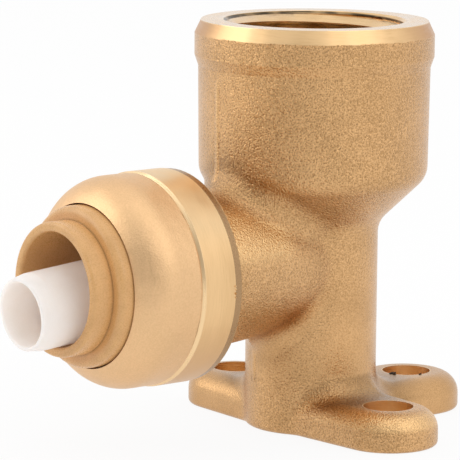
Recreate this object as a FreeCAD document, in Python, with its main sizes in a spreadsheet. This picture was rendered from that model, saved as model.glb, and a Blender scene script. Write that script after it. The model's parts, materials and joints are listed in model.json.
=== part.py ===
import FreeCAD, Part
import math
import os
import re
import Sketcher
from FreeCAD import Vector

doc = FreeCAD.newDocument("wall_plate_elbow")
sheet = doc.addObject("Spreadsheet::Sheet", "Sizes")

# Driving sizes in millimetres and degrees.
# Z runs up the threaded socket from the wall face, and the tube comes in along +X at the outlet height.
# Sizes along the tube axis are distances out from the socket axis.
sizes = {
    "overall_height": 49.0,
    "socket_face_radius": 13.55,
    "bead_radius": 14.3,
    "bead_chamfer": 1.6,
    "bead_height": 2.6,
    "bead_runout": 1.3,
    "socket_radius": 13.85,
    "socket_root_radius": 13.7,
    "socket_root_rise": 10.1,
    "socket_root_round": 3.0,
    "socket_cone_height": 5.6,
    "neck_radius": 7.9,
    "neck_round": 3.0,
    "plate_thickness": 4.5,
    "plate_waist_inset": 1.2,
    "ear_side_reach": 14.25,
    "ear_back_reach": 15.6,
    "ear_radius": 5.9,
    "back_ear_radius": 6.45,
    "ear_edge_round": 2.6,
    "ear_notch_round": 2.5,
    "foot_edge_round": 0.6,
    "plate_blend": 3.0,
    "screw_hole_radius": 2.96,
    "outlet_height": 20.4,
    "branch_radius": 9.15,
    "branch_root_inset": 1.3,
    "branch_blend": 3.0,
    "bell_rear": 20.9,
    "bell_root_round": 1.6,
    "band_step": 0.1,
    "bell_cast_length": 0.95,
    "bell_floor": 1.5,
    "band_width": 4.65,
    "seat_wall": 0.6,
    "band_chamfer": 0.35,
    "thread_radius": 10.6,
    "thread_depth": 14.6,
    "mouth_countersink": 0.33,
    "waterway_radius": 5.0,
    "branch_waterway_radius": 4.5,
    "drill_point_height": 2.9,
    "tube_radius": 6.35,
    "tube_clearance": 0.25,
    "tube_stop_depth": 6.5,
    "seal_section": 2.6,
    "seal_grip": 0.25,
    "seal_clearance": 0.05,
    "seal_end_gap": 0.2,
    "cap_press_gap": 0.02,
    "cap_joint_gap": 0.15,
    "cap_spigot_wall": 0.85,
    "cap_step": 0.17,
    "cap_length": 8.0,
    "cap_dome_round": 5.0,
    "cap_lip_reach": 0.82,
    "cap_lip_depth": 1.9,
    "cap_chamber_step": 0.68,
    "protector_length": 2.2,
    "ring_clearance": 0.05,
    "grab_ring_thickness": 0.4,
    "grab_tooth_length": 2.9,
    "grab_tooth_bite": 0.25,
    "grab_tooth_angle": 35.0,
    "grab_tooth_count": 10,
    "grab_tooth_gap": 1.1,
    "collar_grip_length": 2.64,
    "collar_guide_length": 1.16,
    "collar_wall": 1.15,
    "collar_guide_step": 1.58,
    "collar_mouth_gap": 0.2,
    "collar_flange_gap": 0.4,
    "collar_flange_depth": 1.3,
    "collar_sleeve_wall": 1.4,
    "collar_nose_wall": 0.8,
    "collar_nose_taper": 0.6,
    "collar_nose_gap": 0.25,
    "collar_stop_gap": 0.05,
    "collar_travel": 2.0,
    "collar_rim_round": 0.4,
    "collar_step_round": 0.9,
    "tube_wall": 1.78,
    "liner_clearance": 0.07,
    "liner_wall": 0.75,
    "liner_length": 27.4,
    "liner_tip_taper": 1.8,
    "liner_tip_radius": 4.2,
    "liner_tip_round": 0.2,
    "liner_flange_gap": 0.5,
    "liner_flange_depth": 0.8,
    "liner_stop_gap": 1.1,
    "liner_rest_gap": 0.12,
}
for row, (name, value) in enumerate(sizes.items(), start=1):
    sheet.set("A%d" % row, name)
    sheet.set("B%d" % row, str(value))
    sheet.setAlias("B%d" % row, name)
doc.recompute()

# Places along the tube axis, each built on the one before it.
band_rear = "(bell_rear + bell_cast_length)"
band_front = "(bell_rear + bell_cast_length + band_width)"
tube_stop = "(bell_rear - tube_stop_depth)"
seal_floor = "(bell_rear + bell_floor)"
cap_floor = "(%s + seal_section + seal_end_gap)" % seal_floor
protector_rear = "(%s + ring_clearance)" % cap_floor
protector_front = "(%s + protector_length)" % protector_rear
grab_rear = "(%s + ring_clearance)" % protector_front
grab_front = "(%s + grab_ring_thickness)" % grab_rear
grab_seat = "(%s + ring_clearance)" % grab_front
cap_rear = "(%s + cap_joint_gap)" % band_front
cap_front = "(%s + cap_length)" % band_front
lip_inside = "(%s - cap_lip_depth)" % cap_front
flange_front = "(%s - collar_stop_gap)" % lip_inside
flange_rear = "(%s - collar_flange_depth)" % flange_front
collar_step = "(%s + collar_guide_length)" % cap_front
collar_front = "(%s + collar_grip_length)" % collar_step
liner_seat = "(%s + liner_stop_gap)" % tube_stop

# Radii from the tube outward, and slopes that pieces share because they seat on each other.
tube_bore = "(tube_radius + tube_clearance)"
seal_bore = "(tube_radius - seal_grip)"
seal_seat_radius = "(%s + seal_section + seal_clearance)" % seal_bore
collar_tube_radius = "(%s + collar_wall)" % tube_bore
sleeve_radius = "(%s + collar_sleeve_wall)" % tube_bore
nose_radius = "(%s + collar_nose_wall)" % tube_bore
guide_radius = "(%s + collar_guide_step)" % collar_tube_radius
cap_mouth_radius = "(%s + collar_mouth_gap)" % guide_radius
cap_chamber_radius = "(%s + cap_lip_reach)" % cap_mouth_radius
flange_radius = "(%s - collar_flange_gap)" % cap_chamber_radius
spigot_bore = "(%s + cap_chamber_step)" % cap_chamber_radius
ring_radius = "(%s - ring_clearance)" % spigot_bore
spigot_radius = "(%s + cap_spigot_wall)" % spigot_bore
cap_seat_radius = "(%s + cap_press_gap)" % spigot_radius
band_radius = "(%s + seat_wall)" % cap_seat_radius
bell_cast_radius = "(%s - band_step)" % band_radius
cap_radius = "(%s - cap_step)" % band_radius
tooth_slope = "tan(grab_tooth_angle * 1 deg)"
tooth_tip_radius = "(tube_radius - grab_tooth_bite)"
tooth_root = "(%s + grab_tooth_length)" % tooth_tip_radius
tooth_depth = "(grab_tooth_length * %s)" % tooth_slope
nose_depth = "((%s - %s) * %s)" % (tooth_root, nose_radius, tooth_slope)
nose_end = "(%s - %s + collar_travel + collar_nose_gap)" % (grab_front, nose_depth)
liner_radius = "(tube_radius - tube_wall - liner_clearance)"
liner_bore = "(%s - liner_wall)" % liner_radius
liner_flange_radius = "(%s - liner_flange_gap)" % tube_bore
liner_drop = "(%s - %s - liner_rest_gap)" % (tube_bore, liner_radius)
liner_droop = "atan(%s / (%s - %s))" % (liner_drop, collar_front, liner_seat)
socket_root_height = "(outlet_height + socket_root_rise)"
neck_height = "(%s - socket_cone_height)" % socket_root_height
bead_top = "(overall_height - bead_chamfer)"
bead_foot = "(%s - bead_height)" % bead_top
thread_floor = "(overall_height - thread_depth)"
waterway_floor = "(outlet_height - branch_waterway_radius)"


def size(expression):
    return float(sheet.evalExpression(expression))


def linked(expression):
    return re.sub(r"[a-z_]+", lambda word: "Sizes." * (word[0] in sizes) + word[0], expression)


def bind(item, path, expression):
    item.setExpression(path, linked(expression))


def new_body(label):
    body = doc.addObject("PartDesign::Body", label)
    body.Label = label
    return body


def new_sketch(body, name, role):
    sketch = body.newObject("Sketcher::SketchObject", name)
    plane = [item for item in body.Origin.OriginFeatures if item.Role == role][0]
    sketch.AttachmentSupport = (plane, [""])
    sketch.MapMode = "FlatFace"
    return sketch


def dimension(sketch, kind, name, expression, *references):
    index = sketch.addConstraint(Sketcher.Constraint(kind, *references, size(expression)))
    sketch.renameConstraint(index, name)
    bind(sketch, "Constraints." + name, expression)


def place_point(sketch, name, geometry, position, across, along):
    dimension(sketch, "DistanceX", name + "_x", across, -1, 1, geometry, position)
    dimension(sketch, "DistanceY", name + "_y", along, -1, 1, geometry, position)


def arc_between(begin, end, centre_across):
    # The anticlockwise arc from one corner to the next about a centre at this place across.
    square = (end.x - centre_across) ** 2 + end.y ** 2 - (begin.x - centre_across) ** 2 - begin.y ** 2
    centre = Vector(centre_across, square / (2 * (end.y - begin.y)), 0)
    angles = [math.atan2(spot.y - centre.y, spot.x - centre.x) for spot in (begin, end)]
    circle = Part.Circle(centre, Vector(0, 0, 1), (begin - centre).Length)
    return Part.ArcOfCircle(circle, *angles)


def draw_profile(sketch, corners, arcs):
    # Straight runs from corner to corner, with an arc after each corner that has a centre given.
    spots = [Vector(size(across), size(along), 0) for across, along in corners]
    count = len(spots)
    for index in range(count):
        ends = (spots[index], spots[(index + 1) % count])
        if index in arcs:
            sketch.addGeometry(arc_between(*ends, size(arcs[index])), False)
            dimension(sketch, "DistanceX", "arc_%d_centre" % index, arcs[index], -1, 1, index, 3)
        else:
            sketch.addGeometry(Part.LineSegment(*ends), False)
    for index in range(count):
        sketch.addConstraint(Sketcher.Constraint("Coincident", index, 2, (index + 1) % count, 1))
    for index, (across, along) in enumerate(corners):
        place_point(sketch, "corner_%d" % index, index, 1, across, along)


def draw_circle(sketch, name, across, along, radius):
    circle = Part.Circle(Vector(size(across), size(along), 0), Vector(0, 0, 1), size(radius))
    index = sketch.addGeometry(circle, False)
    place_point(sketch, name, index, 3, across, along)
    dimension(sketch, "Radius", name + "_radius", radius, index)


def draw_belt(sketch, rounds):
    # The outline of a belt pulled anticlockwise round a loop of circles.
    spots = [(Vector(size(across), size(along), 0), size(radius)) for across, along, radius in rounds]
    count = len(spots)
    headings = []
    for index, (centre, radius) in enumerate(spots):
        next_centre, next_radius = spots[(index + 1) % count]
        step = next_centre - centre
        headings.append(math.atan2(step.y, step.x) - math.acos((radius - next_radius) / step.Length))
    for index, (centre, radius) in enumerate(spots):
        begin, end = headings[index - 1], headings[index]
        end += 2 * math.pi * math.ceil((begin - end) / (2 * math.pi))
        sketch.addGeometry(Part.ArcOfCircle(Part.Circle(centre, Vector(0, 0, 1), radius), begin, end), False)
    for index, (centre, radius) in enumerate(spots):
        next_centre, next_radius = spots[(index + 1) % count]
        reach = Vector(math.cos(headings[index]), math.sin(headings[index]), 0)
        ends = (centre + reach * radius, next_centre + reach * next_radius)
        sketch.addGeometry(Part.LineSegment(*ends), False)
    for index, (across, along, radius) in enumerate(rounds):
        place_point(sketch, "round_%d" % index, index, 3, across, along)
        dimension(sketch, "Radius", "round_%d_radius" % index, radius, index)
        sketch.addConstraint(Sketcher.Constraint("Tangent", index, 2, count + index, 1))
        sketch.addConstraint(Sketcher.Constraint("Tangent", count + index, 2, (index + 1) % count, 1))


def revolve(body, kind, name, axis, corners, height="0", arcs={}):
    sketch = new_sketch(body, name + "_profile", "XZ_Plane")
    bind(sketch, "AttachmentOffset.Base.y", height)
    draw_profile(sketch, corners, arcs)
    return spin(body, kind, name, sketch, axis)


def spin(body, kind, name, sketch, axis):
    feature = body.newObject("PartDesign::" + kind, name)
    feature.Profile = sketch
    feature.ReferenceAxis = (sketch, [axis])
    feature.Angle = 360
    return finish(body, feature)


def finish(body, feature):
    # Faces stay as each operation leaves them, which keeps the blends that follow stable.
    feature.Refine = False
    body.Tip = feature
    doc.recompute()
    return feature


def pad(body, name, rounds, depth):
    sketch = new_sketch(body, name + "_outline", "XY_Plane")
    draw_belt(sketch, rounds)
    feature = body.newObject("PartDesign::Pad", name)
    feature.Profile = sketch
    bind(feature, "Length", depth)
    return finish(body, feature)


def soften(body, kind, name, base, test, amount):
    edges = ["Edge%d" % number for number, edge in enumerate(base.Shape.Edges, start=1) if test(edge)]
    feature = body.newObject("PartDesign::" + kind, name)
    feature.Base = (base, edges)
    bind(feature, "Size" if kind == "Chamfer" else "Radius", amount)
    return finish(body, feature)


def samples(edge):
    span = edge.LastParameter - edge.FirstParameter
    return [edge.valueAt(edge.FirstParameter + span * part) for part in (0, 0.5, 1)]


def near(value, target):
    return abs(value - target) < 0.005


def ring_up(radius, level):
    # Picks the circle of this radius at this height on the socket axis.
    return lambda edge: all(
        near(math.hypot(spot.x, spot.y), size(radius)) and near(spot.z, size(level))
        for spot in samples(edge))


def ring_along(radius, reach, height="0"):
    # Picks the circle of this radius at this distance out along the tube axis.
    return lambda edge: all(
        near(math.hypot(spot.y, spot.z - size(height)), size(radius)) and near(spot.x, -size(reach))
        for spot in samples(edge))


def on_ear_corner(edge):
    spots = samples(edge)
    upright = near(spots[0].x, spots[-1].x) and near(spots[0].y, spots[-1].y)
    inner = math.hypot(spots[0].x, spots[0].y) < size("ear_side_reach - screw_hole_radius")
    return upright and inner and spots[0].x > 0 and abs(spots[0].y) > 1


def on_plate_top(edge):
    return all(near(spot.z, size("plate_thickness")) for spot in samples(edge))


def on_neck_foot(edge):
    spots = samples(edge)
    heights = [spot.z for spot in spots]
    on_neck = all(near(math.hypot(spot.x, spot.y), size("neck_radius")) for spot in spots)
    return on_neck and max(heights) > 0.01 and max(heights) < size("plate_thickness") + 0.01


def on_foot_rim(edge):
    return all(near(spot.z, 0) and math.hypot(spot.x, spot.y) > 1 for spot in samples(edge))


def on_branch_root(edge):
    lowest = size("plate_thickness + plate_blend")
    return edge.Curve.TypeId not in ("Part::GeomLine", "Part::GeomCircle") and all(
        spot.z > lowest and spot.x < 0 for spot in samples(edge))


# Cast body: plate with three ears, neck and threaded socket, then the branch with its bell.
body = new_body("elbow_body")
waist = ("0", "0", "neck_radius - plate_waist_inset")
front_ear = ("0", "-ear_side_reach", "ear_radius")
rear_ear = ("0", "ear_side_reach", "ear_radius")
back_ear = ("ear_back_reach", "0", "back_ear_radius")
pad(body, "side_ears", [waist, rear_ear, waist, front_ear], "plate_thickness")
plate = pad(body, "back_ear", [waist, back_ear], "plate_thickness")
plate = soften(body, "Fillet", "ear_notches", plate, on_ear_corner, "ear_notch_round")
plate = soften(body, "Fillet", "ear_edges", plate, on_plate_top, "ear_edge_round")
socket = revolve(body, "Revolution", "socket", "V_Axis", [
    ("0", "0"),
    ("neck_radius", "0"),
    ("neck_radius", neck_height),
    ("socket_root_radius", socket_root_height),
    ("socket_radius", bead_foot + " - bead_runout"),
    ("bead_radius", bead_foot),
    ("bead_radius", bead_top),
    ("socket_face_radius", "overall_height"),
    ("0", "overall_height"),
])
socket = soften(body, "Fillet", "neck_foot", socket, on_neck_foot, "plate_blend")
socket = soften(body, "Fillet", "foot_edges", socket, on_foot_rim, "foot_edge_round")
socket = soften(body, "Fillet", "neck_cove", socket, ring_up("neck_radius", neck_height), "neck_round")
socket = soften(body, "Fillet", "socket_root", socket,
                ring_up("socket_root_radius", socket_root_height), "socket_root_round")
branch = revolve(body, "Revolution", "branch", "H_Axis", [
    ("0", "0"),
    ("0", "neck_radius - branch_root_inset"),
    ("-bell_rear", "branch_radius"),
    ("-bell_rear", bell_cast_radius),
    ("-" + band_rear, bell_cast_radius),
    ("-" + band_rear, band_radius),
    ("-" + band_front, band_radius),
    ("-" + band_front, "0"),
], "outlet_height", {1: "-bell_rear"})
branch = soften(body, "Fillet", "branch_root", branch, on_branch_root, "branch_blend")
branch = soften(body, "Fillet", "bell_root", branch,
                ring_along("branch_radius", "bell_rear", "outlet_height"), "bell_root_round")
branch = soften(body, "Chamfer", "band_edge", branch,
                ring_along(band_radius, band_front, "outlet_height"), "band_chamfer")

# Bores in the body: threaded socket and waterway from above, cartridge and tube socket from the side.
revolve(body, "Groove", "socket_bore", "V_Axis", [
    ("0", "overall_height"),
    ("thread_radius + mouth_countersink", "overall_height"),
    ("thread_radius", "overall_height - mouth_countersink"),
    ("thread_radius", thread_floor),
    ("waterway_radius", thread_floor),
    ("waterway_radius", waterway_floor),
    ("0", waterway_floor + " - drill_point_height"),
])
revolve(body, "Groove", "tube_bore", "H_Axis", [
    ("-" + band_front, "0"),
    ("-" + band_front, cap_seat_radius),
    ("-" + cap_floor, cap_seat_radius),
    ("-" + cap_floor, seal_seat_radius),
    ("-" + seal_floor, seal_seat_radius),
    ("-" + seal_floor, tube_bore),
    ("-" + tube_stop, tube_bore),
    ("-" + tube_stop, "branch_waterway_radius"),
    ("0", "branch_waterway_radius"),
    ("0", "0"),
], "outlet_height")
screw_sketch = new_sketch(body, "screw_holes_outline", "XY_Plane")
for name, (across, along, radius) in {"front": front_ear, "rear": rear_ear, "back": back_ear}.items():
    draw_circle(screw_sketch, name, across, along, "screw_hole_radius")
screw_holes = body.newObject("PartDesign::Pocket", "screw_holes")
screw_holes.Profile = screw_sketch
screw_holes.Reversed = True
bind(screw_holes, "Length", "plate_thickness")
finish(body, screw_holes)

# Domed cap: turned as a solid, its front edge rounded to a dome, then bored.
cap = new_body("retaining_cap")
dome = revolve(cap, "Revolution", "dome", "H_Axis", [
    ("-" + protector_rear, "0"),
    ("-" + protector_rear, spigot_radius),
    ("-" + cap_rear, spigot_radius),
    ("-" + cap_rear, cap_radius),
    ("-" + cap_front, cap_radius),
    ("-" + cap_front, "0"),
])
soften(cap, "Fillet", "dome_round", dome, ring_along(cap_radius, cap_front), "cap_dome_round")
revolve(cap, "Groove", "cap_bore", "H_Axis", [
    ("-" + protector_rear, "0"),
    ("-" + protector_rear, spigot_bore),
    ("-" + grab_seat, spigot_bore),
    ("-" + grab_seat, cap_chamber_radius),
    ("-" + lip_inside, cap_chamber_radius),
    ("-" + lip_inside, cap_mouth_radius),
    ("-" + cap_front, cap_mouth_radius),
    ("-" + cap_front, "0"),
])

# Release collar: grip tube, guide ring in the cap's mouth, stop flange behind its lip, nose at the teeth.
collar = new_body("release_collar")
turned = revolve(collar, "Revolution", "collar", "H_Axis", [
    ("-" + collar_front, tube_bore),
    ("-" + collar_front, collar_tube_radius),
    ("-" + collar_step, collar_tube_radius),
    ("-" + collar_step, guide_radius),
    ("-" + flange_front, guide_radius),
    ("-" + flange_front, flange_radius),
    ("-" + flange_rear, flange_radius),
    ("-" + flange_rear, sleeve_radius),
    ("-%s - collar_nose_taper" % nose_end, sleeve_radius),
    ("-" + nose_end, nose_radius),
    ("-" + nose_end, tube_bore),
])
turned = soften(collar, "Fillet", "grip_rim", turned,
                ring_along(collar_tube_radius, collar_front), "collar_rim_round")
turned = soften(collar, "Fillet", "grip_lip", turned,
                ring_along(tube_bore, collar_front), "collar_rim_round")
soften(collar, "Fillet", "guide_shoulder", turned,
       ring_along(guide_radius, collar_step), "collar_step_round")

# Grab ring: a thin dished ring, slotted into teeth that lean inward.
grab = new_body("grab_ring")
revolve(grab, "Revolution", "dished_ring", "H_Axis", [
    ("-" + grab_front, ring_radius),
    ("-" + grab_front, tooth_root),
    ("-%s + %s" % (grab_front, tooth_depth), tooth_tip_radius),
    ("-%s + %s" % (grab_rear, tooth_depth), tooth_tip_radius),
    ("-" + grab_rear, tooth_root),
    ("-" + grab_rear, ring_radius),
])
slot_sketch = new_sketch(grab, "tooth_slot_outline", "YZ_Plane")
draw_profile(slot_sketch, [
    ("-grab_tooth_gap / 2", "0"),
    ("grab_tooth_gap / 2", "0"),
    ("grab_tooth_gap / 2", tooth_root),
    ("-grab_tooth_gap / 2", tooth_root),
], {})
slot = grab.newObject("PartDesign::Pocket", "tooth_slot")
slot.Profile = slot_sketch
slot.Type = "ThroughAll"
slot.SideType = "Two sides"
slot.Type2 = "ThroughAll"
finish(grab, slot)
slots = grab.newObject("PartDesign::PolarPattern", "tooth_slots")
slots.Originals = [slot]
slots.Axis = (slot_sketch, ["N_Axis"])
slots.Angle = 360
bind(slots, "Occurrences", "grab_tooth_count")
finish(grab, slots)

# Protector ring: backs the grab ring and keeps its teeth off the seal.
protector = new_body("seal_protector")
revolve(protector, "Revolution", "protector", "H_Axis", [
    ("-" + protector_rear, tube_bore),
    ("-" + protector_rear, ring_radius),
    ("-" + protector_front, ring_radius),
    ("-" + protector_front, tooth_root),
    ("-%s + (%s - %s) * %s" % (protector_front, tooth_root, tube_bore, tooth_slope), tube_bore),
])

# Seal ring.
seal = new_body("o_ring")
seal_sketch = new_sketch(seal, "seal_section", "XZ_Plane")
draw_circle(seal_sketch, "section", "-%s - seal_clearance - seal_section / 2" % seal_floor,
            "%s + seal_section / 2" % seal_bore, "seal_section / 2")
spin(seal, "Revolution", "seal", seal_sketch, "H_Axis")

# Liner: a flanged sleeve that hangs in the tube socket and droops onto the collar.
liner = new_body("tube_liner")
sleeve = revolve(liner, "Revolution", "sleeve", "H_Axis", [
    ("liner_flange_depth / 2", liner_bore),
    ("liner_flange_depth / 2", liner_flange_radius),
    ("-liner_flange_depth / 2", liner_flange_radius),
    ("-liner_flange_depth / 2", liner_radius),
    ("-liner_length + liner_tip_taper", liner_radius),
    ("-liner_length", "liner_tip_radius"),
    ("-liner_length", liner_bore),
])
sleeve = soften(liner, "Fillet", "tip_rim", sleeve,
                ring_along("liner_tip_radius", "liner_length"), "liner_tip_round")
soften(liner, "Fillet", "tip_lip", sleeve,
       ring_along(liner_bore, "liner_length"), "liner_tip_round")
liner.Placement.Rotation = FreeCAD.Rotation(Vector(0, -1, 0), size(liner_droop))
bind(liner, "Placement.Rotation.Angle", liner_droop)
bind(liner, "Placement.Base.x", "-" + liner_seat)
for piece in (cap, collar, grab, protector, seal, liner):
    bind(piece, "Placement.Base.z", "outlet_height")
doc.recompute()

for item in doc.Objects:
    if "Invalid" in item.State or "Error" in item.State:
        raise RuntimeError(item.Label + " failed to build")
pieces = (body, cap, collar, grab, protector, seal, liner)
for piece in pieces:
    if piece.Shape.isNull() or not piece.Shape.isValid() or len(piece.Shape.Solids) != 1:
        raise RuntimeError(piece.Label + " is not one valid solid")
os.makedirs("parts", exist_ok=True)
for piece in pieces:
    piece.Shape.exportStep("parts/%s.step" % piece.Label)
    print(piece.Label, round(piece.Shape.Volume, 1))
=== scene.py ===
import functools
import json
import math
import random
from types import SimpleNamespace
import bmesh
import bpy
from mathutils import Matrix, Vector


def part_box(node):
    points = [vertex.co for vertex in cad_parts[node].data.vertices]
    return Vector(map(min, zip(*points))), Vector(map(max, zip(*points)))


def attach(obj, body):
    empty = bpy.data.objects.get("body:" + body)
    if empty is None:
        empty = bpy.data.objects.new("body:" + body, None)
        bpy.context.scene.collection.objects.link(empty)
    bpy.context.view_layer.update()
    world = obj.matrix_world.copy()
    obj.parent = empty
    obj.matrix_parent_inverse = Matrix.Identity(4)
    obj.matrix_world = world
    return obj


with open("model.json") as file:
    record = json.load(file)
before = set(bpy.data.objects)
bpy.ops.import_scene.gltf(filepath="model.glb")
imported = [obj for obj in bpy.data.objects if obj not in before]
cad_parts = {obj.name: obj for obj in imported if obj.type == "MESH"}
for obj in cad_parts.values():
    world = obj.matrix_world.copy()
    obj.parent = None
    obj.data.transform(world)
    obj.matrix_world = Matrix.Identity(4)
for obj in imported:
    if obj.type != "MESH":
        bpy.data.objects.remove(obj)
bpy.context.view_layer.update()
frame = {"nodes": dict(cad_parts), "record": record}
mm = 0.001
weld = 1e-7  # points closer than this, in metres, are one
noiseRange = (0.35, 0.65)  # most of a noise's values lie between these
sightLine = (0.64, 0.77)  # level direction away from the camera
scene = bpy.context.scene
scene.view_settings.view_transform = "Standard"
mounts = {mount["name"]: mount for mount in frame["record"]["mounts"]}
bodyLow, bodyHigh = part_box("elbow_body")
capLow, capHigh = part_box("retaining_cap")
mouthTop = bodyHigh.z / mm  # face of the threaded socket
bandFront = bodyLow.x / mm  # front edge of the band on the bell
tubeHeight = (capLow.z + capHigh.z) / 2 / mm  # tube axis above the wall face
print("frame loaded, mouth at", round(mouthTop, 2), "mm, tube axis at", round(tubeHeight, 2), "mm")


# Shader maths: sums on a wire add Math nodes, and every other node comes from Maker.node.
class Wire:
    def __init__(self, maker, socket):
        self.maker = maker
        self.socket = socket

    def __add__(self, other):
        return self.maker.maths("ADD", self, other)

    def __mul__(self, other):
        return self.maker.maths("MULTIPLY", self, other)

    def __sub__(self, other):
        return self.maker.maths("SUBTRACT", self, other)

    def __rsub__(self, other):
        return self.maker.maths("SUBTRACT", other, self)

    def __pow__(self, other):
        return self.maker.maths("POWER", self, other)

    __radd__ = __add__
    __rmul__ = __mul__


class Maker:
    def __init__(self, tree):
        self.tree = tree
        self.tree.nodes.clear()

    def node(self, kind, settings={}, sockets={}, out=0):
        made = self.tree.nodes.new("ShaderNode" + kind)
        for name, value in settings.items():
            setattr(made, name, value)
        for name, value in sockets.items():
            if isinstance(value, Wire):
                self.tree.links.new(value.socket, made.inputs[name])
            else:
                made.inputs[name].default_value = value
        return Wire(self, made.outputs[out]) if made.outputs else made

    def maths(self, operation, first, second):
        return self.node("Math", {"operation": operation}, {0: first, 1: second})

    def larger(self, first, second):
        return self.maths("MAXIMUM", first, second)

    def step(self, value, low, high, start=0.0, end=1.0):
        return self.node("MapRange", {"interpolation_type": "SMOOTHSTEP"}, {
            "Value": value, "From Min": low, "From Max": high, "To Min": start, "To Max": end})

    def fall(self, value, low, high, start=1.0):
        return self.step(value, low, high, start, 0.0)

    def blend(self, mask, first, second):
        return self.node("Mix", {"data_type": "RGBA"}, {0: mask, 6: first, 7: second}, 2)

    def joined(self, x, y, z):
        return self.node("CombineXYZ", {}, {0: x, 1: y, 2: z})

    def scaled(self, vector, scale):
        return self.node("VectorMath", {"operation": "SCALE"}, {0: vector, "Scale": scale})

    def along(self, vector, direction):
        return self.node("VectorMath", {"operation": "DOT_PRODUCT"}, {0: vector, 1: direction}, "Value")

    def noise(self, place, scale, detail, rough):
        return self.node("TexNoise", {}, {
            "Vector": place, "Scale": scale, "Detail": detail, "Roughness": rough})

    def openness(self, reach):
        settings = {"samples": 8, "only_local": True}
        return self.node("AmbientOcclusion", settings, {"Distance": reach * mm}, "AO")

    def bump(self, height, depth):
        return self.node("Bump", {}, {"Height": height, "Strength": 1.0, "Distance": depth * mm})

    def output(self, shader, kind="OutputMaterial"):
        self.node(kind, {}, {"Surface": shader})


def newMaterial(name):
    material = bpy.data.materials.new(name)
    material.use_nodes = True
    return material, Maker(material.node_tree)


def newFinish(name):
    material, maker = newMaterial(name)
    return material, maker, maker.scaled(maker.node("TexCoord", out="Object"), 1 / mm)


def axes(maker, vector):
    split = maker.node("SeparateXYZ", {}, {0: vector})
    return [Wire(maker, socket) for socket in split.socket.node.outputs]


def colour(red, green, blue):
    return (red, green, blue, 1)


def spread(place, soft):
    return (place - soft, place + soft)


def dress(name, material):
    node = frame["nodes"][name]
    node.data.materials.clear()
    node.data.materials.append(material)


# Sizes of the pipe thread, which the finish of the socket follows too.
threadRidge = {
    "pitch": 1.814,
    "wall": mounts["female_thread"]["dims"]["r_mm"],
    "sink": 0.05,  # how far the ridge's foot goes into the wall
    "height": 1.4,
    "crestFlat": 0.14,
    "footShare": 0.49,  # half width of the ridge's foot, as a share of the pitch
    "taper": 0.5 / 16,  # change of radius along the axis
    "start": mouthTop - 0.57,  # crest height where the ridge begins
    "startTurn": 190,
    "leadIn": 0.22,  # turns over which each end of the ridge grows to its full height
    "cutTop": mouthTop - 0.33,  # the countersink trims the first turn
    "grimeLift": 0.22,  # painted shade: a dark line along the root, above the ridge's foot
    "turns": 7.1,
    "stepsPerTurn": 72,
}

# Cast body: shot-blasted grain, with the mouth, the band and the holes cut bright.
castBrass = {
    "bright": colour(0.8, 0.474, 0.215),
    "dull": colour(0.48, 0.268, 0.107),
    "toneRange": (-0.075, 0.325),  # from dull to bright
    "blotchScale": 0.17,
    "blotchShare": 0.25,
    "relief": colour(0.4, 0.245, 0.12),  # narrow turned step behind the band
    "reliefPolish": 0.75,  # shares of the grain that the step and the neck have lost
    "neckPolish": 0.4,
    "cove": colour(0.24, 0.127, 0.047),  # painted shade in the coves, where the skin is closed in
    "coveReach": 8.0,
    "rubbed": colour(0.98, 0.64, 0.3),  # painted highlight on the shoulders of the branch, the rims of the near ears and the seam
    "seamAcross": 1.4,  # place of the mould seam along Y, which gets the painted highlight too
    # painted shade along the thread's root and at the mouth's inner edge
    "grime": colour(0.05, 0.036, 0.022),
    "grainScale": 5.0,  # cells in a millimetre
    "grainDepth": 0.14,
    "grainShare": (1.2, 0.3),  # coarse on the near side, smoother on the far ears
    "pitScale": 4.5,
    "pitShare": 0.2,
    "roughRange": (0.35, 0.7),
    "roughness": (0.26, 0.38),
    "coat": 0.35,
    "coatRoughness": 0.35,
}
# Limits of the zones on the cast skin: places in millimetres, and slopes and openness from 0 to 1.
castZones = {
    "grainDepths": (-11.0, 4.0),  # away from the camera
    "neckFoot": (5.0, 8.0),
    "neckTop": (15.0, 20.0),
    "branchRoot": (-11.0, -8.0),  # along X
    "branchFacing": (-0.15, 0.02),
    "coveOpenness": (0.55, 0.92),
    "coveSlope": (0.6, 0.9),
    "footHeight": (7.0, 10.0),
    "footSlope": (0.05, 0.3),
    "footOpenness": (0.8, 1.0),
    "farDepths": (4.0, 9.0),
    "farHeight": (5.0, 6.0),
    "tiltedSlope": (0.1, 0.4),
    "levelSlope": (0.75, 0.97),
    "rimHeight": (5.2, 6.0),
    "rimOpenness": (0.93, 0.995),
    "rimDepths": (-12.0, 3.0),
    "seamWidth": (0.08, 0.3),
    "seamFoot": (30.0, 33.0),
    "seamTop": (41.0, 43.0),
    "seamBlotch": (0.35, 0.6),
}
# How far each zone goes over to its own colour.
castShares = {
    "relief": 0.9,
    "cove": 0.75,
    "coveOnLevel": 0.25,
    "foot": 0.9,
    "farEars": 0.45,
    "branch": 0.6,
    "rims": 0.5,
    "seam": 0.34,
    "seamLeast": 0.3,
}
cutBrass = {
    "bright": colour(0.9, 0.61, 0.315),
    "deep": colour(0.79, 0.51, 0.245),
    "flank": colour(0.99, 0.78, 0.48),  # painted light: brighter under sides of the thread, and top of the band
    "bandTop": 0.5,
    "rim": colour(1.0, 0.73, 0.42),  # polished bevel at the band's front, its colour lightened by a painted highlight
    "rimShare": 0.7,
    "tarnish": colour(0.62, 0.345, 0.155),  # painted shade on the sides of the mouth's bevel and the under side of the band
    "bandUnder": 0.5,
    "lineScale": 9.0,
    "lineStretch": 0.05,
    "lineDepth": 0.012,
    "chatterScale": 0.3,
    "chatterDepth": 0.16,  # slow waves left on the mouth, which break up its reflection
    "roughness": (0.25, 0.38),
    "roughChange": {"band": 0.1, "mouth": -0.08, "bevel": 0.14, "bore": -0.05, "rim": -0.12},
    "coat": 1.0,  # thin film that pales the turned faces at a low angle
}
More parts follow.
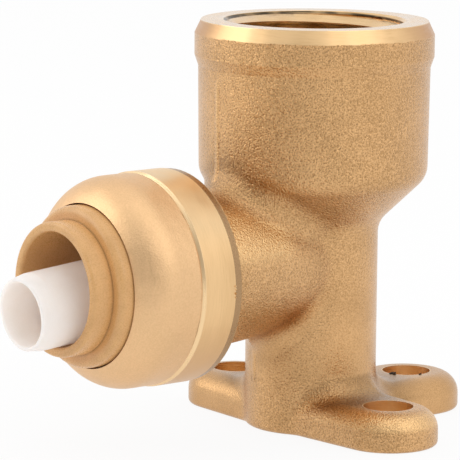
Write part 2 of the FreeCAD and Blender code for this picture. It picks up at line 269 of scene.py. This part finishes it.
cutPlaces = {
    "wobbleScale": 0.55,
    "mouthEdge": spread(mouthTop - 1.6, 0.06),  # lower edge of the turned chamfer
    "mouthWobble": 0.5,  # how far each edge of a cut wanders
    "boreEdge": (11.4, 11.5),
    "boreFloor": (30.0, 31.0),
    "bandRear": spread(-bandFront - 4.65, 0.05),  # distances out along the tube axis
    "bandWobble": 0.16,
    "bellRear": spread(-bandFront - 5.6, 0.06),
    "bellWobble": 0.2,
    "holes": [(0, -14.25), (0, 14.25), (15.6, 0)],
    "holeEdge": spread(mounts["back_screw"]["dims"]["r_mm"] + 0.085, 0.025),
    "plateTop": (4.6, 4.7),
    "face": (mouthTop - 0.12, mouthTop - 0.04),
    "bevelDepths": (-12.0, -4.0),
    "rim": (bandFront + 0.3, bandFront + 0.5),
    "flankSlope": (-0.6, -0.2),
    "underSlope": (-0.8, -0.2),
    "topSlope": (0.3, 0.8),
}
# Painted shade in the socket: a dark line along the root of the first turns, and at the left of the mouth's
# inner edge.
socketShadePlaces = {
    "rootWidth": (0.08, 0.22),
    "rootRadius": (10.2, 10.45),
    "rootHeight": (mouthTop - 1.4, mouthTop - 1.0),
    "edgeSide": (-2.0, 4.0),  # towards the left of the picture
    "edgeRadius": (10.45, 10.6),
    "edgeHeight": (mouthTop - 0.2, mouthTop),
    "edgeWander": 0.8,
    "outerRadius": (10.84, 10.92),
    "patchRange": (0.3, 0.55),
    "patchWobble": 0.4,
    "patchShare": (0.6, 0.95),
}


def surveyBody(maker, place):
    # places, slopes and masks that the cast skin and the cut faces share
    at = SimpleNamespace(place=place)
    at.x, at.y, at.z = axes(maker, place)
    normal = axes(maker, maker.node("TexCoord", out="Normal"))
    at.facing, at.upward = normal[0], normal[2]
    at.depth = at.x * sightLine[0] + at.y * sightLine[1]
    at.leftward = at.y * sightLine[0] - at.x * sightLine[1]
    at.fromSocket = (at.x * at.x + at.y * at.y) ** 0.5
    flat = maker.joined(at.x, at.y, 0.0)
    at.wobble = maker.noise(flat, cutPlaces["wobbleScale"], detail=4.0, rough=0.6) - 0.5
    at.chatter = maker.noise(flat, cutBrass["chatterScale"], detail=1.0, rough=0.5)
    at.mouth = maker.step(at.z + at.wobble * cutPlaces["mouthWobble"], *cutPlaces["mouthEdge"])
    at.band = maker.step(at.wobble * cutPlaces["bandWobble"] - at.x, *cutPlaces["bandRear"])
    at.strip = maker.step(at.wobble * cutPlaces["bellWobble"] - at.x, *cutPlaces["bellRear"])
    at.bore = maker.fall(at.fromSocket, *cutPlaces["boreEdge"]) * maker.step(at.z, *cutPlaces["boreFloor"])
    holes = []
    for holeX, holeY in cutPlaces["holes"]:
        away = ((at.x - holeX) * (at.x - holeX) + (at.y - holeY) * (at.y - holeY)) ** 0.5
        holes.append(maker.fall(away, *cutPlaces["holeEdge"]))
    at.holes = functools.reduce(maker.larger, holes) * maker.fall(at.z, *cutPlaces["plateTop"])
    at.cut = functools.reduce(maker.larger, [at.mouth, at.bore, at.band, at.holes])
    at.face = maker.step(at.z, *cutPlaces["face"])
    return at


def castSkin(maker, at):
    zones, shares = castZones, castShares
    grain = maker.noise(at.place, castBrass["grainScale"], detail=1.0, rough=0.5)
    pits = maker.node("TexVoronoi", {"feature": "SMOOTH_F1"}, {
        "Vector": at.place, "Scale": castBrass["pitScale"], "Smoothness": 0.6})
    skin = grain * (1 - castBrass["pitShare"]) + pits * castBrass["pitShare"]
    blotch = maker.noise(at.place, castBrass["blotchScale"], detail=3.0, rough=0.6)
    neck = maker.step(at.z, *zones["neckFoot"]) * maker.fall(at.z, *zones["neckTop"])
    neck = neck * maker.step(at.x, *zones["branchRoot"])
    coarse = maker.step(at.depth, *zones["grainDepths"], *castBrass["grainShare"])
    coarse = coarse * (1 - neck * castBrass["neckPolish"])
    tone = (grain - 0.5) * coarse * (1 - castBrass["blotchShare"]) + blotch * castBrass["blotchShare"]
    tint = maker.blend(maker.step(tone, *castBrass["toneRange"]), castBrass["dull"], castBrass["bright"])
    tint = maker.blend(at.strip * shares["relief"], tint, castBrass["relief"])

    # painted shade: coves that ambient occlusion finds closed in, and the foot of the neck, go darker; level
    # faces less so
    openness = maker.openness(castBrass["coveReach"])
    shaded = maker.fall(openness, *zones["coveOpenness"], shares["cove"])
    shaded = shaded * maker.step(at.upward, *zones["coveSlope"], 1.0, shares["coveOnLevel"])
    foot = maker.fall(at.z, *zones["footHeight"], shares["foot"]) * maker.step(at.upward, *zones["footSlope"])
    shaded = maker.larger(shaded, foot * maker.fall(openness, *zones["footOpenness"]))
    tint = maker.blend(shaded, tint, castBrass["cove"])
    # painted shade: the ears away from the camera go darker
    farEars = maker.step(at.depth, *zones["farDepths"]) * maker.fall(at.z, *zones["farHeight"])
    tint = maker.blend(farEars * shares["farEars"], tint, castBrass["dull"])

    # painted highlight: tilted shoulders of the branch, rims of the near ears, and the seam go brighter
    tilted = maker.step(at.upward, *zones["tiltedSlope"]) * maker.fall(at.upward, *zones["levelSlope"])
    branch = maker.fall(at.x, *zones["branchRoot"], shares["branch"])
    branch = branch * maker.step(at.facing, *zones["branchFacing"]) * (1 - at.strip)
    rims = maker.fall(at.z, *zones["rimHeight"]) * maker.step(openness, *zones["rimOpenness"])
    rims = rims * maker.fall(at.depth, *zones["rimDepths"], shares["rims"])
    fromSeam = maker.maths("ABSOLUTE", at.y - castBrass["seamAcross"], 0.0)
    seam = maker.fall(fromSeam, *zones["seamWidth"], shares["seam"])
    seam = seam * maker.step(at.z, *zones["seamFoot"]) * maker.fall(at.z, *zones["seamTop"])
    seam = seam * maker.step(blotch, *zones["seamBlotch"], shares["seamLeast"], 1.0)
    rubbed = maker.larger(tilted * maker.larger(branch, rims), seam)
    return SimpleNamespace(
        tint=maker.blend(rubbed, tint, castBrass["rubbed"]),
        rough=maker.step(skin, *castBrass["roughRange"], *castBrass["roughness"]),
        height=skin * coarse)


def cutLines(maker, at):
    # fine rings left by the tool: they change along the axis and hardly round it
    along = at.band * at.x + at.holes * at.z
    across = (1 - at.band) * (1 - at.holes) * at.fromSocket
    around = maker.scaled(at.place, cutBrass["lineStretch"])
    shift = maker.joined(along, across, 0.0)
    stretched = maker.node("VectorMath", {"operation": "ADD"}, {0: around, 1: shift})
    return maker.noise(stretched, cutBrass["lineScale"], detail=3.0, rough=0.65)


# painted shade: dark lines along the thread's first root and at the mouth's inner edge
def paintSocketShade(maker, at):
    grime = socketShadePlaces
    rise = threadRidge["pitch"] / (2 * math.pi)
    rootStart = threadRidge["start"] + threadRidge["pitch"] * (0.5 - threadRidge["startTurn"] / 360)
    rootStart += threadRidge["grimeLift"]
    rootLine = at.z - maker.maths("ARCTAN2", at.y, at.x) * rise - rootStart
    fromRoot = maker.maths("PINGPONG", rootLine, threadRidge["pitch"] / 2)
    root = maker.fall(fromRoot, *grime["rootWidth"]) * maker.step(at.fromSocket, *grime["rootRadius"])
    root = root * maker.step(at.z, *grime["rootHeight"])
    edge = maker.step(at.leftward, *grime["edgeSide"]) * maker.step(at.fromSocket, *grime["edgeRadius"])
    edge = edge * maker.step(at.z + at.chatter * grime["edgeWander"], *grime["edgeHeight"])
    shadeLines = maker.larger(root, edge) * maker.fall(at.fromSocket, *grime["outerRadius"]) * at.bore
    patch = at.chatter + at.wobble * grime["patchWobble"]
    return shadeLines * maker.step(patch, *grime["patchRange"], *grime["patchShare"])


def cutFaces(maker, at):
    lines = cutLines(maker, at)
    flash = maker.step(lines * 0.5 + at.chatter * 0.5, *noiseRange)
    tint = maker.blend(flash, cutBrass["deep"], cutBrass["bright"])
    # painted light: the under sides of the thread go brighter
    flank = at.bore * maker.fall(at.upward, *cutPlaces["flankSlope"])
    tint = maker.blend(flank, tint, cutBrass["flank"])
    # painted shade on the sides of the bevel and the under side of the band
    bevel = at.mouth * (1 - at.bore) * (1 - at.face)
    bevelSide = bevel * maker.step(at.depth, *cutPlaces["bevelDepths"])
    bandUnder = at.band * maker.fall(at.upward, *cutPlaces["underSlope"], cutBrass["bandUnder"])
    tint = maker.blend(maker.larger(bevelSide, bandUnder), tint, cutBrass["tarnish"])
    # painted light: the top of the band goes brighter
    bandTop = at.band * maker.step(at.upward, *cutPlaces["topSlope"]) * cutBrass["bandTop"]
    tint = maker.blend(bandTop, tint, cutBrass["flank"])
    # painted highlight on the band's front bevel, along with its real polish
    rim = maker.fall(at.x, *cutPlaces["rim"])
    tint = maker.blend(rim * cutBrass["rimShare"], tint, cutBrass["rim"])
    grime = paintSocketShade(maker, at)
    rough = maker.step(flash, 0.0, 1.0, *cutBrass["roughness"])
    masks = {"band": at.band, "mouth": at.mouth, "bevel": bevel, "bore": at.bore, "rim": rim}
    for name, change in cutBrass["roughChange"].items():
        rough = rough + masks[name] * change
    lineShare = cutBrass["lineDepth"] / castBrass["grainDepth"]
    chatterShare = cutBrass["chatterDepth"] / castBrass["grainDepth"]
    return SimpleNamespace(
        tint=maker.blend(grime, tint, castBrass["grime"]),
        rough=rough,
        grime=grime,
        height=lines * at.cut * lineShare + at.chatter * at.mouth * chatterShare)


def makeElbowFinish():
    material, maker, place = newFinish("castAndTurnedBrass")
    at = surveyBody(maker, place)
    cast = castSkin(maker, at)
    turned = cutFaces(maker, at)
    height = cast.height * (1 - at.cut) * (1 - at.strip * castBrass["reliefPolish"]) + turned.height
    coat = castBrass["coat"] + (cutBrass["coat"] - castBrass["coat"]) * at.face
    shader = maker.node("BsdfPrincipled", {}, {
        "Base Color": maker.blend(at.cut, cast.tint, turned.tint),
        "Metallic": 1.0,
        "Roughness": cast.rough + (turned.rough - cast.rough) * at.cut,
        "Coat Weight": coat * (1 - turned.grime),
        "Coat Roughness": castBrass["coatRoughness"],
        "Normal": maker.bump(height, castBrass["grainDepth"]),
    })
    maker.output(shader)
    return material


elbowFinish = makeElbowFinish()
dress("elbow_body", elbowFinish)

# Domed cap: satin turned brass with faint rings and slow waves under its skin.
satinBrass = {
    "bright": colour(0.88, 0.575, 0.31),
    "deep": colour(0.8, 0.515, 0.265),
    "toneRange": (0.38, 0.62),
    "lineScale": 7.0,
    "lineStretch": 0.06,
    "lineDepth": 0.003,
    "cloudScale": 0.22,
    "roughness": (0.4, 0.5),
    "skinScale": 5.0,
    "skinDepth": 0.045,
    "mottleScale": 0.5,  # slow waves under the skin, which break up the highlight
    "mottleDepth": 0.09,
    "jointDark": colour(0.3, 0.17, 0.07),  # painted shade along the joint with the band
    "jointShare": 0.8,
    "jointPlace": (bandFront - 0.3, bandFront - 0.15),
    "patchScale": 0.25,
    "patchRange": (0.42, 0.62),
    "coat": 0.25,
    "coatRoughness": 0.35,
}


def makeCapFinish():
    look = satinBrass
    material, maker, place = newFinish("satinTurnedBrass")
    x, y, z = axes(maker, place)
    ringPlace = maker.joined(x, y * look["lineStretch"], z * look["lineStretch"])
    rings = maker.noise(ringPlace, look["lineScale"], detail=4.0, rough=0.7)
    cloud = maker.noise(place, look["cloudScale"], detail=3.0, rough=0.55)
    skin = maker.noise(place, look["skinScale"], detail=2.0, rough=0.6)
    mottle = maker.noise(place, look["mottleScale"], detail=1.0, rough=0.5)
    patches = maker.noise(place, look["patchScale"], detail=3.0, rough=0.6)
    tone = maker.step(rings * 0.25 + cloud * 0.25 + skin * 0.5, *look["toneRange"])
    tint = maker.blend(tone, look["deep"], look["bright"])
    # painted shade along the joint with the band
    joint = maker.step(x, *look["jointPlace"]) * maker.step(patches, *look["patchRange"])
    lineShare = look["lineDepth"] / look["skinDepth"]
    mottleShare = look["mottleDepth"] / look["skinDepth"]
    height = skin + rings * lineShare + mottle * mottleShare
    shader = maker.node("BsdfPrincipled", {}, {
        "Base Color": maker.blend(joint * look["jointShare"], tint, look["jointDark"]),
        "Metallic": 1.0,
        "Roughness": maker.step(rings * 0.6 + cloud * 0.4, *noiseRange, *look["roughness"]),
        "Coat Weight": look["coat"],
        "Coat Roughness": look["coatRoughness"],
        "Normal": maker.bump(height, look["skinDepth"]),
    })
    maker.output(shader)
    return material


dress("retaining_cap", makeCapFinish())

# Moulded pieces: the tan release collar, the off-white liner, and the protector and seal inside.
collarPlastic = {
    "name": "tanAcetal",
    "light": colour(0.76, 0.43, 0.17),
    "dark": colour(0.69, 0.385, 0.15),
    "cloudScale": 0.5,
    "skinScale": 6.0,
    "skinDepth": 0.006,
    "roughness": (0.24, 0.36),
    "subsurface": 0.0,
    "glow": 0.0,
    "cornerDark": 0.5,
}
linerPlastic = {
    "name": "milkyAcetal",
    "light": colour(0.775, 0.705, 0.665),
    "dark": colour(0.75, 0.675, 0.625),
    "cloudScale": 0.3,
    "skinScale": 5.0,
    "skinDepth": 0.005,
    "roughness": (0.28, 0.4),
    "subsurface": 1.0,
    "glow": 0.11,  # painted light: the liner glows, standing in for daylight that comes through the milky wall
    "cornerDark": 0.0,
}
protectorPlastic = {
    "name": "naturalAcetal",
    "light": colour(0.78, 0.77, 0.73),
    "dark": colour(0.72, 0.71, 0.67),
    "cloudScale": 0.5,
    "skinScale": 6.0,
    "skinDepth": 0.006,
    "roughness": (0.38, 0.5),
    "subsurface": 0.0,
    "glow": 0.0,
    "cornerDark": 0.3,
}
sealRubber = {
    "name": "blackRubber",
    "light": colour(0.035, 0.035, 0.037),
    "dark": colour(0.02, 0.02, 0.021),
    "cloudScale": 0.6,
    "skinScale": 9.0,
    "skinDepth": 0.01,
    "roughness": (0.45, 0.62),
    "subsurface": 0.0,
    "glow": 0.0,
    "cornerDark": 0.0,
}
mouldedDetail = {
    "toneRange": (0.36, 0.64),
    "cornerReach": 0.5,
    "cornerOpenness": (0.4, 0.85),
    "cornerShade": 0.3,  # colour of the painted shade in a corner, as a share of the dark tone
    "scatterRadius": (1.0, 0.85, 0.75),
    "scatterReach": 4,
}


def makeMoulded(look):
    detail = mouldedDetail
    material, maker, place = newFinish(look["name"])
    cloud = maker.noise(place, look["cloudScale"], detail=3.0, rough=0.55)
    skin = maker.noise(place, look["skinScale"], detail=3.0, rough=0.6)
    tone = maker.step(cloud * 0.7 + skin * 0.3, *detail["toneRange"])
    tint = maker.blend(tone, look["dark"], look["light"])
    cornerColour = colour(*[part * detail["cornerShade"] for part in look["dark"][:3]])
    # painted shade: corners that ambient occlusion finds closed in go darker
    corner = maker.fall(maker.openness(detail["cornerReach"]), *detail["cornerOpenness"], look["cornerDark"])
    shader = maker.node("BsdfPrincipled", {}, {
        "Base Color": maker.blend(corner, tint, cornerColour),
        "Roughness": maker.step(skin, *noiseRange, *look["roughness"]),
        "Subsurface Weight": look["subsurface"],
        "Subsurface Radius": detail["scatterRadius"],
        "Subsurface Scale": detail["scatterReach"] * mm,
        # painted light: a glow on the pieces whose look gives one
        "Emission Color": look["light"],
        "Emission Strength": look["glow"],
        "Normal": maker.bump(skin, look["skinDepth"]),
    })
    maker.output(shader)
    return material


for name, look in {"release_collar": collarPlastic, "tube_liner": linerPlastic,
                   "seal_protector": protectorPlastic, "o_ring": sealRubber}.items():
    dress(name, makeMoulded(look))

# Grab ring: rolled spring steel.
springSteel = {
    "light": colour(0.62, 0.61, 0.59),
    "dark": colour(0.5, 0.49, 0.475),
    "grainScale": 2.0,
    "grainAcross": 6,  # the rolled grain is fine along Y and drawn out along Z
    "grainAlong": 0.3,
    "grainDepth": 0.002,
    "roughness": (0.2, 0.32),
}


def makeSteel():
    look = springSteel
    material, maker, place = newFinish("rolledSteel")
    x, y, z = axes(maker, place)
    drawnOut = maker.joined(x, y * look["grainAcross"], z * look["grainAlong"])
    rolled = maker.noise(drawnOut, look["grainScale"], detail=3.0, rough=0.6)
    shader = maker.node("BsdfPrincipled", {}, {
        "Base Color": maker.blend(maker.step(rolled, *noiseRange), look["dark"], look["light"]),
        "Metallic": 1.0,
        "Roughness": maker.step(rolled, *noiseRange, *look["roughness"]),
        "Normal": maker.bump(rolled, look["grainDepth"]),
    })
    maker.output(shader)
    return material


dress("grab_ring", makeSteel())
print("finishes made:", len(bpy.data.materials))

sharpAngle = math.radians(40)  # steeper edges between faces stay sharp


def newPiece(name, shape, material):
    mesh = bpy.data.meshes.new(name)
    shape.to_mesh(mesh)
    shape.free()
    mesh.materials.append(material)
    for face in mesh.polygons:
        face.use_smooth = True
    mesh.set_sharp_from_angle(angle=sharpAngle)
    piece = bpy.data.objects.new(name, mesh)
    scene.collection.objects.link(piece)
    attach(piece, "fitting")
    return piece


def cutAt(shape, place, normal, clear):
    everything = shape.verts[:] + shape.edges[:] + shape.faces[:]
    bmesh.ops.bisect_plane(shape, geom=everything, dist=weld, plane_co=Vector(place) * mm,
                           plane_no=normal, clear_outer=clear)


# Female pipe thread: one helical ridge swept down the plain wall of the socket.
def makeThread():
    ridge = threadRidge
    shape = bmesh.new()
    halfFoot = ridge["pitch"] * ridge["footShare"]
    halfCrest = ridge["crestFlat"] / 2
    crest = ridge["wall"] - ridge["height"]
    foot = ridge["wall"] + ridge["sink"]
    corners = [(foot, halfFoot), (crest, halfCrest), (crest, -halfCrest), (foot, -halfFoot)]
    points = [shape.verts.new((radius * mm, 0, (ridge["start"] + rise) * mm)) for radius, rise in corners]
    profile = shape.faces.new(points)
    steps = int(ridge["turns"] * ridge["stepsPerTurn"])
    drop = Vector((0, 0, -ridge["pitch"] / ridge["stepsPerTurn"] * mm))
    bmesh.ops.spin(shape, geom=[profile, *profile.edges, *points], cent=(0, 0, 0), axis=(0, 0, -1),
                   dvec=drop, angle=ridge["turns"] * 2 * math.pi, steps=steps, use_merge=False)
    bmesh.ops.remove_doubles(shape, verts=shape.verts[:], dist=weld)
    bmesh.ops.recalc_face_normals(shape, faces=shape.faces[:])
    for vert in shape.verts:  # taper the crest and fade both ends, leaving the foot in the wall
        radius = vert.co.xy.length / mm
        if radius < (crest + foot) / 2:
            part = -math.atan2(vert.co.y, vert.co.x) / (2 * math.pi) % 1
            done = part + round((ridge["start"] - vert.co.z / mm) / ridge["pitch"] - part)  # turns so far
            grown = max(0, min(1, done / ridge["leadIn"], (ridge["turns"] - done) / ridge["leadIn"]))
            height = foot - radius + done * ridge["pitch"] * ridge["taper"]
            vert.co.xy *= (foot - height * grown) / radius
    turned = Matrix.Rotation(math.radians(ridge["startTurn"]), 3, "Z")
    bmesh.ops.rotate(shape, verts=shape.verts[:], matrix=turned)
    cutAt(shape, (0, 0, ridge["cutTop"]), (0, 0, 1), True)
    bmesh.ops.holes_fill(shape, edges=[edge for edge in shape.edges if edge.is_boundary])
    return newPiece("pipe_thread", shape, elbowFinish)


thread = makeThread()
print("thread swept,", len(thread.data.polygons), "faces")

# Mould seam: the body's own skin, raised in a low ridge where the two halves of the mould met.
mouldSeam = {
    "across": castBrass["seamAcross"],
    "foot": 0.5,  # half widths of the ridge at the skin and at its top
    "top": 0.18,
    "rise": 0.08,
    "fade": 1.5,  # run over which each end sinks into the skin
    "leastFacing": 0.2,  # faces that look less outward belong to the bores behind the skin
    "zones": {  # low and high X, low and high Z
        "socket": (-14.5, -13, 30.4, 42.6),
        "neck": (-8.6, -6.5, 5.8, 9.6),
        "back": (6.5, 14.5, 8.2, 42.6),
    },
}


def makeSeam(name, zone):
    lowX, highX, lowZ, highZ = zone
    seam = mouldSeam
    shape = bmesh.new()
    shape.from_mesh(frame["nodes"]["elbow_body"].data)
    bmesh.ops.remove_doubles(shape, verts=shape.verts[:], dist=weld)
    for side in (-1, 1):
        cutAt(shape, (0, seam["across"] + side * seam["foot"], 0), (0, side, 0), True)
        cutAt(shape, (0, seam["across"] + side * seam["top"], 0), (0, side, 0), False)
    cutAt(shape, (lowX, 0, 0), (-1, 0, 0), True)
    cutAt(shape, (highX, 0, 0), (1, 0, 0), True)
    for height, side in ((lowZ, -1), (highZ, 1)):
        cutAt(shape, (0, 0, height), (0, 0, side), True)
        cutAt(shape, (0, 0, height - side * seam["fade"]), (0, 0, side), False)
    outward = math.copysign(1, lowX)
    inner = [face for face in shape.faces if face.normal.x * outward < seam["leastFacing"]]
    bmesh.ops.delete(shape, geom=inner, context="FACES")
    for vert in shape.verts:
        fromMiddle = abs(vert.co.y / mm - seam["across"])
        share = min(1, (seam["foot"] - fromMiddle) / (seam["foot"] - seam["top"]))
        share *= min(1, (vert.co.z / mm - lowZ) / seam["fade"], (highZ - vert.co.z / mm) / seam["fade"])
        radius = vert.co.xy.length
        vert.co.xy *= (radius + share * seam["rise"] * mm) / radius
    return newPiece("mould_seam_" + name, shape, elbowFinish)


for name, zone in mouldSeam["zones"].items():
    makeSeam(name, zone)

# Burrs: torn shards at the band's rear edge and on the rim of the back ear's hole.
burrs = {
    "band_edge_burr": {
        "place": (-21.86, -12.5, 20.3),
        "spread": (0.05, 0.04, 0.7),
        "count": 4,
        "size": 0.16,
        "dark": False,
    },
    "ear_hole_burr": {
        "place": (12.74, -0.8, 4.5),
        "spread": (0.16, 0.4, 0.06),
        "count": 5,
        "size": 0.24,
        "dark": True,
    },
    "ear_rim_chip": {
        "place": (15.3, -2.98, 4.5),
        "spread": (0.3, 0.06, 0.04),
        "count": 3,
        "size": 0.15,
        "dark": True,
    },
}
burrShape = {
    "seed": 11,
    "stretch": ((0.7, 1.4), (0.4, 0.8), (0.4, 0.9)),
    "jitter": 0.22,  # share of the size by which each point strays
    "subdivisions": 2,
}
burntSkin = {
    "light": colour(0.2, 0.11, 0.05),
    "dark": colour(0.035, 0.022, 0.013),
    "toneRange": (0.45, 0.7),
    "metallic": 0.6,
    "roughness": (0.5, 0.75),
    "crustScale": 3.5,
    "crustDepth": 0.03,
}


def makeBurnt():
    look = burntSkin
    material, maker, place = newFinish("burntSkin")
    crust = maker.noise(place, look["crustScale"], detail=3.0, rough=0.6)
    shader = maker.node("BsdfPrincipled", {}, {
        "Base Color": maker.blend(maker.step(crust, *look["toneRange"]), look["dark"], look["light"]),
        "Metallic": look["metallic"],
        "Roughness": maker.step(crust, *noiseRange, *look["roughness"]),
        "Normal": maker.bump(crust, look["crustDepth"]),
    })
    maker.output(shader)
    return material


burntFinish = makeBurnt()


def makeBurr(name, burr, draw):
    shape = bmesh.new()
    stray = burrShape["jitter"]
    for index in range(burr["count"]):
        shift = Vector([draw.uniform(-1, 1) * reach for reach in burr["spread"]])
        flat = Matrix.Diagonal([draw.uniform(*limits) for limits in burrShape["stretch"]]).to_4x4()
        angle = draw.uniform(0, math.pi)
        turned = Matrix.Rotation(angle, 4, Vector([draw.uniform(-1, 1) for axis in range(3)]))
        place = Matrix.Translation((Vector(burr["place"]) + shift) * mm)
        made = bmesh.ops.create_icosphere(shape, subdivisions=burrShape["subdivisions"],
                                          radius=burr["size"] * mm, matrix=place @ turned @ flat)
        for vert in made["verts"]:
            vert.co += Vector([draw.uniform(-stray, stray) * burr["size"] * mm for axis in range(3)])
    return newPiece(name, shape, burntFinish if burr["dark"] else elbowFinish)


draw = random.Random(burrShape["seed"])
for name, burr in burrs.items():
    makeBurr(name, burr, draw)
print("seam and burrs made")

# Camera at the photograph's place, with a long lens.
cameraView = {
    "place": (-253.084, -297.057, 87.450),
    "aim": (-7.876, 5.956, 23.568),
    "roll": 0.513,
    "lens": 257.42,
    "sensor": 36,
    "clip": (0.01, 20),
}
cameraData = bpy.data.cameras.new("camera")
cameraData.sensor_width = cameraView["sensor"]
cameraData.lens = cameraView["lens"]
cameraData.clip_start, cameraData.clip_end = cameraView["clip"]
camera = bpy.data.objects.new("camera", cameraData)
scene.collection.objects.link(camera)
sight = Vector(cameraView["aim"]) - Vector(cameraView["place"])
turn = sight.to_track_quat("-Z", "Y").to_matrix() @ Matrix.Rotation(math.radians(cameraView["roll"]), 3, "Z")
camera.matrix_world = Matrix.Translation(Vector(cameraView["place"]) * mm) @ turn.to_4x4()
scene.camera = camera

# Floor: white to the eye, and it keeps the soft shadow.
floorLook = {
    "size": 4.0,
    "tone": colour(0.9, 0.9, 0.9),
    "white": 0.9,
    "mirrorWhite": 0.7,  # share of the white that the metal shows
}


def seenShare(maker, toCamera, toMirrors):
    rays = maker.node("LightPath").socket.node.outputs
    direct, glossy, through = [Wire(maker, rays["Is %s Ray" % kind])
                               for kind in ("Camera", "Glossy", "Transmission")]
    return maker.larger(direct * toCamera, maker.larger(glossy, through) * toMirrors)


def makeFloor():
    shape = bmesh.new()
    bmesh.ops.create_grid(shape, x_segments=1, y_segments=1, size=floorLook["size"] / 2)
    mesh = bpy.data.meshes.new("floor")
    shape.to_mesh(mesh)
    shape.free()
    material, maker = newMaterial("paleFloor")
    seen = seenShare(maker, floorLook["white"], floorLook["mirrorWhite"])
    matt = maker.node("BsdfDiffuse", {}, {"Color": floorLook["tone"]})
    glow = maker.node("Emission", {}, {"Color": colour(1, 1, 1), "Strength": 1.0})
    maker.output(maker.node("MixShader", {}, {0: seen, 1: matt, 2: glow}))
    mesh.materials.append(material)
    floor = bpy.data.objects.new("floor", mesh)
    scene.collection.objects.link(floor)


makeFloor()

# Light: a white surround, brighter overhead and dark low down at the camera's left, and two soft boxes.
surround = {
    "light": colour(1, 1, 1),
    "shade": colour(0.285, 0.285, 0.285),
    "darkSide": Vector((-0.866, -0.5, 0)),
    "darkRange": (0.35, 0.9),
    "darkHeight": (0.3, 0.85),
    "overhead": colour(1.6, 1.6, 1.6),
    "overheadSide": Vector((0, -0.05, 1)).normalized(),
    "overheadRange": (0.88, 0.98),
    "level": 0.9,
    "mirrorWhite": 0.2,  # share of the white background that the metal shows too
}
lamps = {
    "leftBox": {"place": (-390, 330, 310), "width": 420, "height": 420, "power": 0.75},
    "frontBox": {"place": (60, -440, 400), "width": 420, "height": 460, "power": 0.44},
}
lampAim = Vector((0, 0, 25))


def makeSurround():
    world = bpy.data.worlds.new("studio")
    world.use_nodes = True
    scene.world = world
    maker = Maker(world.node_tree)
    direction = maker.node("TexCoord", out="Generated")
    dark = maker.step(maker.along(direction, surround["darkSide"]), *surround["darkRange"])
    dark = dark * maker.fall(axes(maker, direction)[2], *surround["darkHeight"])
    tent = maker.blend(dark, surround["light"], surround["shade"])
    above = maker.step(maker.along(direction, surround["overheadSide"]), *surround["overheadRange"])
    tent = maker.blend(above, tent, surround["overhead"])
    studio = maker.node("Background", {}, {"Color": tent, "Strength": surround["level"]})
    white = maker.node("Background", {}, {"Color": colour(1, 1, 1), "Strength": 1.0})
    seen = seenShare(maker, 1.0, surround["mirrorWhite"])
    maker.output(maker.node("MixShader", {}, {0: seen, 1: studio, 2: white}), "OutputWorld")


def makeLamp(name, lamp):
    data = bpy.data.lights.new(name, "AREA")
    data.shape = "RECTANGLE"
    data.size = lamp["width"] * mm
    data.size_y = lamp["height"] * mm
    data.energy = lamp["power"]
    box = bpy.data.objects.new(name, data)
    box.location = Vector(lamp["place"]) * mm
    box.rotation_mode = "QUATERNION"
    box.rotation_quaternion = (lampAim - Vector(lamp["place"])).to_track_quat("-Z", "Y")
    scene.collection.objects.link(box)


makeSurround()
for name, lamp in lamps.items():
    makeLamp(name, lamp)
print("camera, floor and light set")
